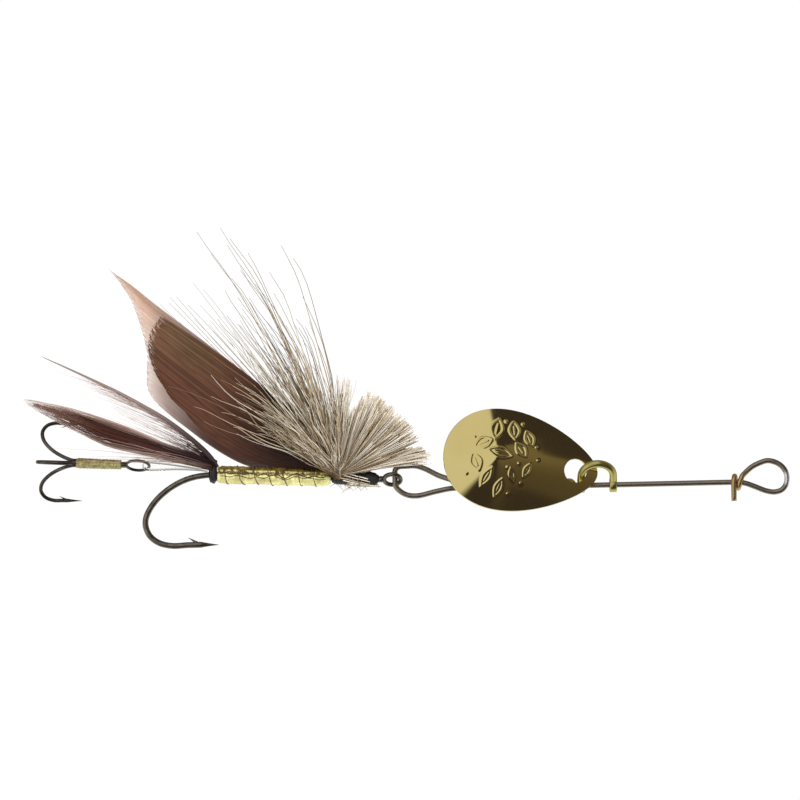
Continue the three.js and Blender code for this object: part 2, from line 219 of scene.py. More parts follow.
def metal(name, colour, dark, rough, scale, bump):
    """Metal whose colour and roughness wander between two values over the surface."""
    m, nt, bsdf, _ = shader(name)
    bsdf.inputs["Metallic"].default_value = 1.0
    co = node(nt, "ShaderNodeTexCoord")
    nz = node(nt, "ShaderNodeTexNoise", Scale=scale, Detail=6.0)
    ramp = node(nt, "ShaderNodeMapRange", **{"From Min": 0.25, "From Max": 0.75})
    cm = node(nt, "ShaderNodeMix", data_type="RGBA")
    cm.inputs[6].default_value = (*dark, 1)
    cm.inputs[7].default_value = (*colour, 1)
    nt.links.new(co.outputs["Object"], nz.inputs["Vector"])
    nt.links.new(nz.outputs["Fac"], ramp.inputs["Value"])
    nt.links.new(ramp.outputs["Result"], cm.inputs[0])
    nt.links.new(cm.outputs[2], bsdf.inputs["Base Color"])
    rr = node(nt, "ShaderNodeMapRange", **{"To Min": rough * 1.5, "To Max": rough * 0.7})
    nt.links.new(nz.outputs["Fac"], rr.inputs["Value"])
    nt.links.new(rr.outputs["Result"], bsdf.inputs["Roughness"])
    if bump:
        bumped(nt, bsdf, co, scale * 2.5, 3.0, bump, METAL_RELIEF)
    return m


def tinted(name, rough, metallic=0.0, through=0.0, gloss=0.3, scale=0.0, bump=0.3, see=0.0):
    """A material coloured by each vertex's tint; through lets light pass, see leaves it partly clear."""
    m, nt, bsdf, out = shader(name)
    tint = node(nt, "ShaderNodeAttribute", attribute_name="tint")
    nt.links.new(tint.outputs["Color"], bsdf.inputs["Base Color"])
    dial(bsdf, {"Roughness": rough, "Metallic": metallic, "Specular IOR Level": gloss})
    if scale:
        bumped(nt, bsdf, node(nt, "ShaderNodeTexCoord"), scale, 4.0, bump, SOFT_RELIEF)
    last = bsdf
    for amount, kind in ((through, "ShaderNodeBsdfTranslucent"), (see, "ShaderNodeBsdfTransparent")):
        if amount:
            layer = node(nt, kind)
            if kind == "ShaderNodeBsdfTranslucent":
                nt.links.new(tint.outputs["Color"], layer.inputs["Color"])
            mx = node(nt, "ShaderNodeMixShader", Fac=amount)
            nt.links.new(last.outputs[0], mx.inputs[1])
            nt.links.new(layer.outputs[0], mx.inputs[2])
            last = mx
    nt.links.new(last.outputs[0], out.inputs[0])
    return m


M_WIRE = tinted("drawn_wire", 0.34, 1.0, scale=1800, bump=0.12)
M_HOOK = metal("bronzed_hook", lin(146, 139, 124), lin(94, 88, 77), 0.30, 1600, 0.08)
M_TREBLE = metal("bronzed_treble", lin(114, 109, 99), lin(68, 65, 58), 0.32, 1600, 0.08)
M_GOLD = metal("gold_plate", lin(226, 210, 138), lin(218, 200, 124), 0.07, 260, 0.0)
M_BRASS = metal("clevis_brass", lin(206, 196, 122), lin(176, 166, 92), 0.27, 900, 0.05)
M_TURNED = metal("turned_brass", lin(214, 188, 112), lin(172, 144, 78), 0.2, 700, 0.03)
M_TINSEL = tinted("gold_tinsel", 0.30, 0.45, gloss=0.6, scale=1500, bump=0.5)
M_THREAD = tinted("thread", 0.45, gloss=0.45)
M_FEATHER = tinted("feather_barbs", 0.62, through=0.28, gloss=0.22)
M_PALE = tinted("pale_barbs", 0.6, through=0.40, gloss=0.2, see=0.12)
M_HAIR = tinted("hair_fibres", 0.5, through=0.25, gloss=0.3)


M_CLEAR, _, bsdf, _ = shader("clear_line")
dial(bsdf, {"Base Color": (0.93, 0.93, 0.91, 1), "Roughness": 0.06, "Transmission Weight": 1.0, "IOR": 1.36})

# ---- shaft wire
WIRE, WRAP_R, PITCH = 0.27, 0.60, 0.60
BAR = -37.60  # the rear loop's end, where the fly's eye hangs


def turns(a0, count, start, n):
    """Close turns of wire round the shaft, from a0 forward."""
    return [round_axis(at, a0 + PITCH * count * (i / n), WRAP_R, math.radians(start) - PI2 * count * (i / n))
            for i in range(n + 1)]


def along(*pts):
    return [at(*p) for p in pts]


front = spline(along((-2.98, 0.62, 0.50), (-2.55, 1.02, 0.22), (-1.95, 1.50, 0.04), (-1.20, 1.86), (-0.40, 2.08),
                     (0.50, 1.86), (1.18, 1.32), (1.50, 0.60), (1.44, -0.25), (1.00, -0.84), (0.25, -1.06),
                     (-0.60, -0.92), (-1.60, -0.52), (-2.60, -0.14), (-3.40, 0)), 180)
rear = spline(along((-30.60, 0), (-32.0, -0.02), (-33.6, -0.30), (-35.4, -0.68), (-36.4, -0.58), (-37.15, -0.16),
                    (BAR + 0.03, 0.36), (BAR, 0.70), (BAR, 1.35), (BAR + 0.03, 1.92), (-37.25, 2.24), (-36.5, 2.30),
                    (-35.5, 2.30), (-34.6, 2.0), (-33.2, 1.28, 0.02), (-31.8, 0.78, 0.22), (-31.05, 0.42, 0.46)), 200)
wrap = [round_axis(at, -30.50 + 1.20 * i / 90, WRAP_R, math.radians(62) - PI2 * 2 * i / 90) for i in range(91)]
b = Build()
TAG = -3.85
tag = along(*((TAG, up, WRAP_R) for up in (-1.85, -1.4, -0.9, -0.4)))
coil = turns(TAG, 1, 90, 60)
shaft = along((-6, 0), (-12, 0), (-18, 0), (-24, 0))
# the tag, the wrap's turn and the start of the front loop are painted warm: a painted reflection on the same wire
DRAWN, WARM_REFLECTION, BRIGHT = lin(150, 141, 124), lin(196, 168, 116), lin(240, 238, 234)
tints = [mix(DRAWN, WARM_REFLECTION, 0.8)] * len(tag) + [WARM_REFLECTION] * len(coil)
for i, p in enumerate(front):
    # a painted highlight: the wire turns white near the front loop's far end
    painted_glint = math.exp(-((p.z / MM - 1.5) / 0.10) ** 2) * (p.x > -0.0012)
    tints.append(mix(mix(DRAWN, WARM_REFLECTION, 0.7 * smoothstep(30, 0, i)), BRIGHT, painted_glint))
tints += [shade(DRAWN, 1.0 + 0.15 * noise.noise(Vector((k * 0.21, 2.0, 5.0))))
          for k in range(len(shaft) + len(rear) + len(wrap))]
b.tube(tag + coil + front + shaft + rear + wrap, WIRE, 20, tints)
b.dress("shaft_wire", M_WIRE, "shaft")

# ---- bead, weight
def turned(build, profile, bore, place, seg, tint=PLAIN):
    """A turned body with a bore, from its (place along, radius) profile."""
    loop = list(profile) + [(profile[-1][0], bore), (profile[0][0], bore)]
    rings = [[round_axis(place, s, r, PI2 * i / seg) for s, r in loop] for i in range(seg)]
    build.loft(rings, tint, closed=True)


BEAD_A, BEAD_R, BORE = -20.24, 0.75, 0.33
arc = [math.radians(28 + 124 * i / 24) for i in range(25)]
b = Build()
turned(b, [(BEAD_A - BEAD_R * math.cos(th), BEAD_R * math.sin(th)) for th in arc], BORE, at, 48)
b.dress("bearing_bead", M_TURNED, "bead")


# the weight body: a drawn-out drop with a cut groove near each end
body_profile = spline([Vector((a, r, 0)) for a, r in (
    (-28.86, 0.70), (-28.56, 0.92), (-27.66, 1.22), (-26.26, 1.40), (-24.96, 1.38), (-23.46, 1.14),
    (-22.16, 0.86), (-21.51, 0.70), (-21.06, 0.66))], 64)
GROOVES, GROOVE_DEPTH, GROOVE_HALF = (-27.3, -22.0), 0.05, 0.09
b = Build()
turned(b, [(p.x, p.y - (GROOVE_DEPTH if any(abs(p.x - g) < GROOVE_HALF for g in GROOVES) else 0))
           for p in body_profile], BORE, at, 56)
b.dress("weight_body", M_TURNED, "weight")

# ---- clevis
CC, SC = math.cos(math.radians(40)), math.sin(math.radians(40))
ARCH_A, ARCH_R, ARCH_H = -17.45, 1.60, 1.21


def clev(a, rho, tau=0.0):
    """A point in the clevis's own plane, which leans 40 degrees towards the viewer."""
    return at(a, rho * CC - tau * SC, rho * SC + tau * CC)


b = Build()
leg = (0.46, 0.7, 0.95)
arch = [clev(ARCH_A - ARCH_R, rho) for rho in leg]
arch += [round_axis(lambda a, x, y: clev(a - x, ARCH_H + y), ARCH_A, ARCH_R, math.pi * i / 48) for i in range(49)]
arch += [clev(ARCH_A + ARCH_R, rho) for rho in reversed(leg)]
b.tube(arch, 0.38, 28)
EAR_R, EAR_T = 0.74, 0.37
corner = ((0.0, EAR_R - 0.12), (0.04, EAR_R - 0.04), (0.12, EAR_R))
for ear in (ARCH_A - ARCH_R, ARCH_A + ARCH_R):
    prof = [(ear - EAR_T, 0.40)] + [(ear - EAR_T + d, r) for d, r in corner]
    prof += [(ear + EAR_T - d, r) for d, r in reversed(corner)] + [(ear + EAR_T, 0.40)]
    turned(b, prof, 0.35, clev, 48)
b.dress("clevis", M_BRASS, "clevis")

# ---- blade
# u runs from the tip with the hole to the round end, v across and w out of the blade
L, T, DISH, U0, EPS = 15.6, 0.40, 1.50, 10.2, 0.30
HOLE_R, HOLE_U, SEAT_U = 1.20, 2.30, 1.58
cD, sD = math.cos(math.radians(10.4)), math.sin(math.radians(10.4))
cO, sO = math.cos(math.radians(7)), math.sin(math.radians(7))
BU = at(-cD * cO, sD * cO, sO) / MM
roll = math.radians(9)
BW = at(0, math.sin(roll), math.cos(roll)) / MM
BW = (BW - BU * BW.dot(BU)).normalized()
BV = BU.cross(BW)


def half_width(u):
    """Half the blade's width at u: a pear, widest past its middle."""
    return math.sqrt(max(0.0, u * (L - u) * (0.1716 + 0.0286 * u)))


def dish(r):
    """The dish's height at a share r of the way from the blade's centre to its rim."""
    return DISH * (math.sqrt(1 + EPS ** 2) - math.sqrt(r * r + EPS ** 2)) / (math.sqrt(1 + EPS ** 2) - EPS)


seat = clev(ARCH_A - ARCH_R * math.cos(math.radians(20)), ARCH_H + ARCH_R * math.sin(math.radians(20)))
TIP = seat - BU * SEAT_U * MM - BW * dish((U0 - SEAT_U) / U0) * MM


def on_blade(u, v, w):
    return TIP + (BU * u + BV * v + BW * w) * MM


def share(u, v):
    """How far a point lies from the blade's centre, as a share of the way to its rim."""
    lo, hi = 1e-4, 1.3
    for _ in range(22):
        m = (lo + hi) / 2
        uu = U0 + (u - U0) / m
        inside = 0 < uu < L and abs(v) / m < half_width(uu)
        lo, hi = (lo, m) if inside else (m, hi)
    return hi


# outlined leaves (u, v, half length, half width, turn) in arcs round a larger one, with dots between them
LEAVES = [(12.45, -0.75, 0.92, 0.52, 62), (11.95, 1.25, 0.92, 0.52, 150), (10.75, 2.85, 1.06, 0.58, 98),
          (9.00, 2.95, 0.92, 0.52, 80), (7.40, 2.35, 0.82, 0.46, 62), (10.2, 0.45, 1.26, 0.54, 8),
          (8.15, 1.05, 0.84, 0.48, 48), (11.2, -2.1, 0.98, 0.36, 112), (9.85, -2.95, 0.92, 0.34, 104),
          (7.3, -0.85, 0.72, 0.28, 110), (8.75, -1.5, 0.66, 0.26, 70)]
DOTS = [(8.2, -0.35), (9.3, -0.9), (7.7, -2.2), (6.3, 0.3), (12.9, 1.7), (6.6, 1.6), (9.9, 3.75), (8.2, 3.75),
        (13.2, -2.0), (8.8, -3.4)]


def stamp(u, v):
    """How high the raised ornament stands here, 0..1."""
    h = 0.0
    for cu, cv, a, b, turn in LEAVES:
        du, dv = u - cu, v - cv
        if du * du + dv * dv < 1.8:
            ct, st = math.cos(math.radians(turn)), math.sin(math.radians(turn))
            x, y = (du * ct + dv * st) / a, (-du * st + dv * ct) / b
            r = abs(x) ** 1.7 + abs(y)
            h = max(h, math.exp(-((r - 1) * b / 0.10) ** 2), 0.7 * math.exp(-(y * b / 0.07) ** 2) * (abs(x) < 0.55))
    for cu, cv in DOTS:
        h = max(h, math.exp(-(math.hypot(u - cu, v - cv) / 0.15) ** 2))
    return h


def rim(k):
    """A point of the outline, k from 0 to 1 round it."""
    u = L / 2 * (1 - math.cos(PI2 * k))
    return u, math.copysign(half_width(u), math.sin(PI2 * k))


FINE_U, FINE_V = (5.6, 14.0), 4.1  # the stamped part, which has the finer mesh
COARSE, FINE = 0.17, 0.085
REACH_V, HOLE_GAP = 5.3, 0.07
RIM_GAP, RAISED, PROUD = 0.10, 0.085, 0.04
ROW = 0.866  # row spacing of a triangle grid, as a share of its step


def outlines():
    """The rim and the hole as points and the edges between them."""
    nr, nh = 220, 72
    pts = [Vector(rim((i + 0.5) / nr)) for i in range(nr)]
    pts += [Vector((HOLE_U + HOLE_R * math.cos(PI2 * i / nh), HOLE_R * math.sin(PI2 * i / nh))) for i in range(nh)]
    edges = [(i, (i + 1) % nr) for i in range(nr)]
    return pts, edges + [(nr + i, nr + (i + 1) % nh) for i in range(nh)]


def inner_points():
    """A coarse triangle grid over the blade and a fine one over its stamped part."""
    for row in range(int(2 * REACH_V / (COARSE * ROW)) + 1):
        v = -REACH_V + row * COARSE * ROW
        for col in range(int(L / COARSE) + 1):
            u = (col + 0.5 * (row % 2)) * COARSE
            fine = FINE_U[0] < u < FINE_U[1] and abs(v) < FINE_V
            near_hole = math.hypot(u - HOLE_U, v) < HOLE_R + HOLE_GAP
            if not fine and not near_hole and abs(v) < half_width(u) - RIM_GAP:
                yield Vector((u, v))
    for row in range(int(2 * FINE_V / (FINE * ROW))):
        v = -FINE_V + row * FINE * ROW
        for col in range(int((FINE_U[1] - FINE_U[0]) / FINE)):
            u = FINE_U[0] + (col + 0.5 * (row % 2)) * FINE
            if abs(v) < half_width(u) - RIM_GAP:
                yield Vector((u, v))


def blade_mesh():
    pts, edges = outlines()
    co, _, faces, _, _, _ = geometry.delaunay_2d_cdt(pts + list(inner_points()), edges, [], 0, 1e-6)
    keep = []
    for f in faces:
        cu = sum(co[i][0] for i in f) / 3
        cv = sum(co[i][1] for i in f) / 3
        if math.hypot(cu - HOLE_U, cv) >= HOLE_R * 0.985 and abs(cv) <= half_width(cu) + 0.02:
            keep.append(tuple(f))
    heights = [dish(share(p[0], p[1])) for p in co]
    b = Build()
    n = len(co)
    for side in (1, -1):
        for p, h in zip(co, heights):
            b.v.append(tuple(on_blade(p[0], p[1], h + side * T / 2 + RAISED * stamp(p[0], p[1]))))
            b.c.append(PLAIN)
    b.f += keep
    b.f += [(f[2] + n, f[1] + n, f[0] + n) for f in keep]
    # rims: a slightly proud middle line rounds each edge
    sides = {(f[i], f[(i + 1) % 3]): True for f in keep for i in range(3)}
    border = [e for e in sides if (e[1], e[0]) not in sides]
    mid = {}
    for k in (k for e in border for k in e):
        if k not in mid:
            p = co[k]
            d = Vector((p[0] - HOLE_U, p[1]))
            if d.length < HOLE_R + 0.02:
                push = -d.normalized() * PROUD
            else:
                push = Vector((p[0] - U0, p[1])).normalized() * PROUD
            mid[k] = len(b.v)
            b.v += [b.v[k], tuple(on_blade(p[0] + push.x, p[1] + push.y, heights[k])), b.v[k + n]]
            b.c += [PLAIN] * 3
    for i, j in border:
        x, y = mid[i], mid[j]
        b.f += [(y, x, x + 1, y + 1), (y + 1, x + 1, x + 2, y + 2)]
    b.dress("blade", M_GOLD, "blade")


blade_mesh()

# ---- single hook
def ring_of(place, radius, n):
    """The middle line of an eye."""
    return [place(radius * math.cos(PI2 * i / n), radius * math.sin(PI2 * i / n)) for i in range(n)]


def taper(n, r, start, tip):
    """Radii that stay at r up to start, then fall to the point's."""
    return [r if i / (n - 1) < start else r + (tip - r) * ((i / (n - 1) - start) / (1 - start)) ** 0.85
            for i in range(n)]


def barb(build, place, a, u, rise, back, r):
    """A barb cut up from the wire at a, leaning back from the point."""
    pts = [place(a + 0.25, u)]
    pts += [place(a - back * x, u + rise * y) for x, y in ((0, 0.10), (0.35, 0.42), (0.7, 0.76), (1, 1))]
    build.tube(pts, [r * 0.6, r, r * 0.72, r * 0.36, 0.008], 12)


hook = through(fly, 240, (-0.86, 0), (-4, 0), (-10, 0), (-15, 0), (-18.0, -0.03), (-20.2, -0.45), (-22.0, -1.38),
               (-23.55, -2.80), (-24.42, -4.35), (-24.48, -5.35), (-24.0, -6.35), (-23.05, -7.0), (-21.8, -7.24),
               (-20.2, -7.12), (-18.8, -7.04), (-17.1, -7.0))
b = Build()
b.tube(hook, taper(len(hook), 0.30, 0.93, 0.012), 20)
eye_roll = math.radians(40)
b.tube(ring_of(lambda c, s: fly(c, s * math.sin(eye_roll), s * math.cos(eye_roll)), 0.825, 60), 0.225, 18,
       closed=True)
b.tube([fly(-0.80, 0.0), fly(-1.1, 0.0), fly(-1.6, 0.0)], [0.27, 0.33, 0.28], 16)
barb(b, fly, -19.2, -6.98, 0.60, 1.05, 0.17)
b.dress("fly_hook", M_HOOK, "fly")

# ---- treble
T_A, T_U = -25.44, 0.69


def treb(a, u, o=0.0):
    """A point in the treble's own lengths, measured from its eye."""
    return fly(T_A + a, T_U + u - a * 0.012, o)


PRONG = ((-1.05, 0.10), (-2.4, 0.14), (-5.4, 0.14), (-6.4, 0.24), (-7.7, 0.75), (-8.85, 1.55), (-9.6, 2.55),
         (-9.72, 3.45), (-9.3, 4.15), (-8.5, 4.47), (-7.4, 4.44), (-5.6, 4.40))
b = Build()
for deg in (90, 210, 330):
    c, s = math.cos(math.radians(deg)), math.sin(math.radians(deg))
    place = lambda a, r: treb(a, r * c, r * s)
    path = through(place, 150, *PRONG)
    b.tube(path, taper(len(path), 0.19, 0.93, 0.012), 16)
    barb(b, place, -7.2, 4.38, -0.42, 0.7, 0.11)
teye = math.radians(26)
b.tube(ring_of(lambda c, s: treb(c, s * math.sin(teye), s * math.cos(teye)), 1.14, 56), 0.15, 14, closed=True)
b.tube([treb(-1.02, 0), treb(-3, 0), treb(-6.0, 0), treb(-6.3, 0)], [0.22, 0.24, 0.26, 0.24], 16)
b.dress("treble_hook", M_TREBLE, "treble")

# ---- windings
def winding(build, place, a0, a1, radius, count, wire, tint, jitter, core, lean=0.0):
    """A thread wound round an axis; radius is a function of the place along it and core picks the noise."""
    seg = 22
    n = int(count * seg)
    pts, tints = [], []
    for i in range(n + 1):
        s = i / n
        th = PI2 * count * s
        a = a0 + (a1 - a0) * s + lean * math.sin(th) + jitter * noise.noise(Vector((s * 37.1, 3.3, core)))
        r = radius(a) + 0.4 * jitter * noise.noise(Vector((s * 61.7, 9.1, core)))
        pts.append(round_axis(place, a, r, th))
        k = 0.75 + 0.5 * (noise.noise(Vector((s * 47.0, core, 5.5))) * 0.5 + 0.5)
        tints.append(shade(tint, k))
    build.tube(pts, wire, 6, tints)


def profile_of(stations):
    """A radius for any place along, eased between the stations."""
    def at_place(a):
        for (a0, r0), (a1, r1) in zip(stations, stations[1:]):
            if a0 <= a <= a1:
                return r0 + (r1 - r0) * smoothstep(0, 1, (a - a0) / (a1 - a0))
        return stations[0][1] if a < stations[0][0] else stations[-1][1]

    return at_place


BLACK = lin(34, 28, 30)
PITCH_BLACK = lin(33, 32, 33)


def collar(name, stations, count, thread, tint):
    """A solid core with two coats of thread wound over it."""
    radius = profile_of(stations)
    b = Build()
    a0, a1 = stations[0][0], stations[-1][0]
    places = [a0 + (a1 - a0) * i / 16 for i in range(17)]
    turned(b, [(a, radius(a) - thread) for a in places], 0.32, fly, 40, tint)
    for k in range(2):
        winding(b, fly, a0 + 0.05, a1 - 0.05, lambda a: radius(a) - thread * 0.5, count, thread * 0.62, tint,
                0.10, 1.7 * k + 0.4, 0.03 * (-1) ** k)
    b.dress(name, M_THREAD, "fly")


collar("tail_butt_thread", [(-18.28, 0.50), (-18.1, 0.80), (-17.8, 0.92), (-17.52, 0.62)], 9, 0.10, BLACK)
collar("hair_tie_thread", [(-6.03, 0.46), (-5.7, 0.60), (-5.0, 0.66), (-4.3, 0.62), (-3.97, 0.50)], 15, 0.10,
       lin(44, 38, 38))
collar("head_thread", [(-3.88, 0.50), (-3.3, 0.78), (-2.9, 0.66), (-2.3, 0.76), (-1.8, 0.64), (-1.37, 0.42)], 19,
       0.11, PITCH_BLACK)

# gold body: flat tinsel wound edge over edge
GOLD = lin(150, 124, 48)
# the cream is the colour of the painted highlights on the tinsel
HIGHLIGHT_CREAM = lin(255, 252, 178)
OLIVE = lin(70, 52, 20)


def tinsel(build, place, a0, a1, radius, count, seg, bore, light, dark, rough=0.05, painted_bands=1.0):
    """A tube of tinsel turns: each turn's edge stands up a little and each turn is painted darker at its low start,
    painted shade. Its underside and a line high on each side get painted highlight, a line just under each of those
    is darkened, and the last argument sets how strongly all this is painted.
    """
    rows = int(count * 9)
    base = len(build.v)
    for i in range(rows + 1):
        s = i / rows
        for j in range(seg):
            th = PI2 * j / seg
            ph = (s * count + j / seg) % 1.0
            wob = noise.noise(Vector((s * 9.0, math.cos(th) * 1.3, math.sin(th) * 1.3)))
            fine = noise.noise(Vector((s * 60.0, math.cos(th) * 3.0, math.sin(th) * 3.0)))
            r = radius(a0 + (a1 - a0) * s) + 0.05 * (ph - 0.5) + rough * wob + 0.02 * fine
            build.v.append(tuple(round_axis(place, a0 + (a1 - a0) * s, r, th)))
            # each turn is painted darker at its low start, where it tucks under the turn before: painted shade; the
            # noise is the tinsel's own unevenness
            k = smoothstep(-0.5, 0.5, wob + 0.5 * fine) * (0.55 + 0.45 * ph)
            # the underside is painted lighter and creamier: painted highlight
            under = smoothstep(0.26, 0.02, math.cos(th) + 0.30 * fine)
            c = mix(mix(dark, light, k), mix(light, HIGHLIGHT_CREAM, 0.45 + 0.55 * k), under * painted_bands)
            # a line just under the painted highlight line is darkened
            low_line = math.exp(-((math.cos(th) - 0.34 + 0.12 * fine) / 0.10) ** 2)
            # a painted highlight along a line high on each side
            painted_highlight_line = math.exp(-((math.cos(th) - 0.52 + 0.10 * fine) / 0.07) ** 2) * smoothstep(-0.3, 0.2, fine)
            c = mix(c, dark, 0.85 * painted_bands * low_line)
            build.c.append(mix(c, HIGHLIGHT_CREAM, 0.9 * painted_bands * painted_highlight_line))
    for i in range(rows):
        for j in range(seg):
            row, k = base + i * seg, (j + 1) % seg
            build.f.append((row + j, row + k, row + seg + k, row + seg + j))
    for end in (0, rows):
        ring, inner = base + end * seg, len(build.v)
        for j in range(seg):
            k = (j + 1) % seg
            build.v.append(tuple(round_axis(place, a0 + (a1 - a0) * end / rows, bore, PI2 * j / seg)))
            build.c.append(dark)
            build.f.append((ring + j, ring + k, inner + k, inner + j))


b = Build()
body_r = profile_of([(-17.45, 0.74), (-17.0, 0.86), (-15.6, 0.92), (-13.5, 0.85), (-11.5, 0.91), (-9.4, 0.85),
                     (-7.6, 0.88), (-6.6, 0.80), (-6.15, 0.62)])
tinsel(b, fly, -17.45, -6.15, body_r, 17, 44, 0.32, GOLD, OLIVE)
b.dress("tinsel_body", M_TINSEL, "fly")

# the rib: seven thin turns, and two threads that wander along the viewer's side
b = Build()
pts = []
for i in range(421):
    s = i / 420
    th = PI2 * 7 * s + 0.5 * noise.noise(Vector((s * 12, 0, 0)))
    a = -17.0 + 10.2 * s + 0.16 * noise.noise(Vector((s * 25, 4, 0)))
    r = body_r(a) + 0.045 + 0.03 * noise.noise(Vector((s * 50, 8, 0)))
    pts.append(round_axis(fly, a, r, th))
b.tube(pts, 0.038, 6, lin(86, 70, 34))
for k in range(2):
    path = []
    for i in range(121):
        s = i / 120
        a = -17.2 + 10.6 * s
        th = math.radians(82 + 16 * k) + 0.55 * noise.noise(Vector((s * 9, k * 3.0, 1)))
        r = body_r(a) + 0.03
        path.append(round_axis(fly, a, r, th))
    b.tube(path, 0.055 - 0.02 * k, 5, lin(62, 48, 18))
b.dress("body_rib", M_THREAD, "fly")
b = Build()
# the treble's tinsel gets the painted shade of each turn, and its painted highlights and dark line at a quarter
# strength
tinsel(b, treb, -6.15, -1.65, profile_of([(-6.15, 0.46), (-5.8, 0.52), (-3.6, 0.50), (-1.65, 0.46)]), 13, 28, 0.36,
       lin(140, 126, 74), lin(98, 86, 46), rough=0.012, painted_bands=0.25)
winding(b, treb, -6.5, -6.1, lambda a: 0.34, 4, 0.10, BLACK, 0.04, 2.0)
b.dress("treble_tinsel", M_TINSEL, "treble")

# ---- leader
leader = through(fly, 150, (-18.42, 0.42, -0.02), (-19.6, 0.58, -0.08), (-21.6, 0.84, -0.10), (-23.4, 1.02, -0.04),
                 (-24.35, 1.06, 0), (-24.72, 0.98, 0), (-24.86, 0.69, 0), (-24.72, 0.40, 0), (-24.35, 0.32, 0),
                 (-23.4, 0.34, -0.10), (-21.6, 0.46, -0.38), (-19.6, 0.44, -0.46), (-18.42, 0.35, -0.46))
b = Build()
b.tube(leader, 0.14, 16)
b.dress("stinger_leader", M_CLEAR, "leader")

# ---- feathers
def edge(*pts):
    """A smooth line through (fa, fu) pairs, read at 0..1 of its length."""
    fine = spline([Vector((a, u, 0)) for a, u in pts], 120)
    acc = [0.0]
    for p, q in zip(fine, fine[1:]):
        acc.append(acc[-1] + (q - p).length)

    def read(t):
        d = min(1.0, max(0.0, t)) * acc[-1]
        lo, hi = 0, len(acc) - 1
        while hi - lo > 1:
            m = (lo + hi) // 2
            lo, hi = (m, hi) if acc[m] <= d else (lo, m)
        w = 0 if acc[hi] == acc[lo] else (d - acc[lo]) / (acc[hi] - acc[lo])
        return fine[lo].lerp(fine[hi], w)

    return read


def slip(build, lower, upper, out_at, colour, barbs, width, stations=26, ridge=0.03, ragged=0.02, vary=0.29):
    """A quill slip: barbs run side by side from the root and end on the lower edge."""
    spans = [(upper(i / 60) - lower(i / 60)).length for i in range(61)]
    widest = max(range(61), key=lambda i: spans[i])
    wmax, tw = spans[widest], widest / 60
    for k in range(barbs):
        d = (k + 0.5) / barbs * wmax
        end = 1.0
        for i in range(widest, 61):
            if spans[i] < d:
                end = i / 60
                break
        end = min(1.0, end * (1 + rng.uniform(-ragged, ragged)))
        l, m, r, tt = [], [], [], []
        lift = rng.uniform(-0.02, 0.02)
        tone = rng.uniform(1 - vary, 1 + vary)
        for i in range(stations + 1):
            t = end * i / stations
            span = max((upper(t) - lower(t)).length, 1e-6)
            f = min(1.0, d / wmax if t < tw else d / span)
            p = upper(t).lerp(lower(t), f)
            w = width * (0.35 + 0.65 * smoothstep(0, 0.35, t)) * (1 - 0.75 * smoothstep(0.88, 1.0, t / end))
            across = (lower(t) - upper(t)).normalized() * w / 2
            o = out_at(t, f)
            l.append(fly(p.x - across.x, p.y - across.y, o + lift - ridge))
            m.append(fly(p.x, p.y, o + lift + ridge))
            r.append(fly(p.x + across.x, p.y + across.y, o + lift - ridge))
            tt.append(shade(colour(t, f), tone * (1 + 0.10 * noise.noise(Vector((t * 9, k * 0.7, 1))))))
        build.strip(l, m, r, tt)


DARK_ROOT, BROWN, WARM = lin(50, 30, 24), lin(92, 58, 43), lin(120, 88, 66)
PINK, PALE, OLIVE_TINT = lin(206, 174, 154), lin(236, 216, 207), lin(86, 72, 48)


def near_colour(t, f):
    c = mix(DARK_ROOT, BROWN, smoothstep(0.30, 0.72, t + 0.15 * f))
    c = mix(c, WARM, smoothstep(0.72, 1.0, t))
    c = mix(c, OLIVE_TINT, 0.55 * math.exp(-((t - 0.80) / 0.17) ** 2 - ((f - 0.22) / 0.34) ** 2))
    mottle = 0.30 * noise.noise(Vector((t * 34, f * 30, 2.0)))
    return shade(c, 1.0 + mottle + 0.16 * noise.noise(Vector((t * 9, f * 7, 6.0))))


def far_colour(t, f):
    c = mix(BROWN, PALE, smoothstep(0.35, 0.7, t) * (0.4 + 0.6 * f))
    c = mix(c, PINK, smoothstep(0.66, 0.85, t))
    return mix(c, WARM, 0.5 * smoothstep(0.45, 0.0, f) * smoothstep(0.5, 0.9, t))


b = Build()
lower = edge((-6.0, 0.95), (-10.3, 0.90), (-12.3, 1.05), (-14.4, 1.65), (-16.4, 2.65), (-18.4, 3.8), (-20.0, 5.2),
             (-21.0, 6.35), (-22.2, 7.4), (-23.2, 8.85), (-24.1, 10.3), (-24.6, 11.8), (-24.7, 13.3), (-24.25, 14.6),
             (-23.5, 15.6))
upper = edge((-5.6, 1.95), (-7.4, 3.8), (-9.6, 5.9), (-13.0, 8.7), (-16.4, 11.2), (-19.8, 13.4), (-22.0, 14.8),
             (-23.45, 15.7))
slip(b, lower, upper, lambda t, f: 0.22 + 0.85 * t ** 1.3 + 0.25 * math.sin(math.pi * f) * smoothstep(0, 0.4, t),
     near_colour, 84, 0.19)
b.dress("wing_feather_near", M_FEATHER, "fly")

b = Build()
lower = edge((-6.0, 0.9), (-10.3, 0.60), (-12.8, 0.62), (-14.9, 1.1), (-16.9, 2.05), (-18.9, 3.3), (-20.5, 4.45),
             (-22.3, 5.75), (-23.8, 7.0), (-24.7, 8.3), (-24.85, 10.0), (-24.9, 11.9), (-25.5, 14.2), (-26.6, 17.0),
             (-27.9, 19.0), (-29.15, 20.35))
upper = edge((-5.6, 2.1), (-7.4, 4.1), (-9.5, 6.0), (-14.4, 9.7), (-19.3, 13.3), (-24.2, 16.8), (-26.8, 18.75),
             (-29.25, 20.4))
slip(b, lower, upper, lambda t, f: -0.30 - 1.05 * t ** 1.2 - 0.2 * math.sin(math.pi * f), far_colour, 88, 0.18,
     stations=30, ragged=0.01, vary=0.13)
b.dress("wing_feather_far", M_PALE, "fly")


